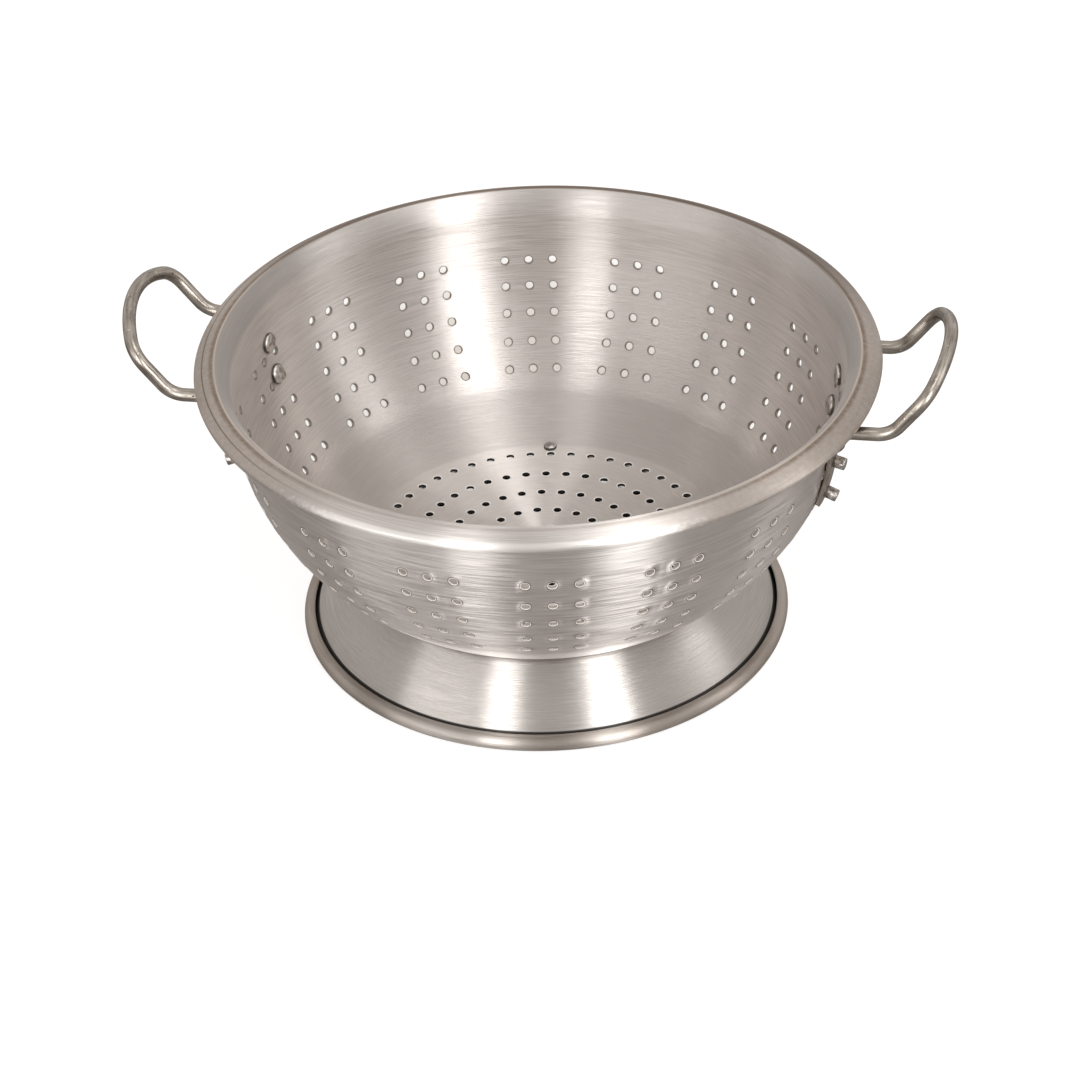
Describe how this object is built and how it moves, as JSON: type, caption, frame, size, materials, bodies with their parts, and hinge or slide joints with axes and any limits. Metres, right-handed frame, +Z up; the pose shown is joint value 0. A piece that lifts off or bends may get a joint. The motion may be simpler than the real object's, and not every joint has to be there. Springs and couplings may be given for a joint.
{
  "type": "colander",
  "caption": "Large spun aluminium colander with a perforated bowl, rolled rim, riveted foot ring and two upswept tube loop handles.",
  "frame": {"origin": "on the table at the centre of the foot ring, on the bowl's axis", "axes": "+Z up, +X along the line through the two handles, +Y to the back as the picture sees it"},
  "size_m": [0.4928, 0.4064, 0.2145],
  "materials": {
    "spun_bowl": "spun and brushed round the bowl, satin, with fine turning lines and bright edges at the drain holes",
    "spun_foot": "spun and brushed round the foot, satin",
    "handle_tube": "drawn tube, dull grey with brighter worn streaks along it and small nicks",
    "rivet": "plain hammered and clipped metal, slightly scuffed"
  },
  "bodies": {
    "root": {"bowl": "spun_bowl", "foot_ring": "spun_foot", "right_handle": "handle_tube", "left_handle": "handle_tube", "right_rear_upper_rivet": "rivet", "right_rear_lower_rivet": "rivet", "right_front_upper_rivet": "rivet", "right_front_lower_rivet": "rivet", "left_rear_upper_rivet": "rivet", "left_rear_lower_rivet": "rivet", "left_front_upper_rivet": "rivet", "left_front_lower_rivet": "rivet", "foot_rivet_1": "rivet", "foot_rivet_2": "rivet", "foot_rivet_3": "rivet", "foot_rivet_4": "rivet"}
  },
  "joints": []
}
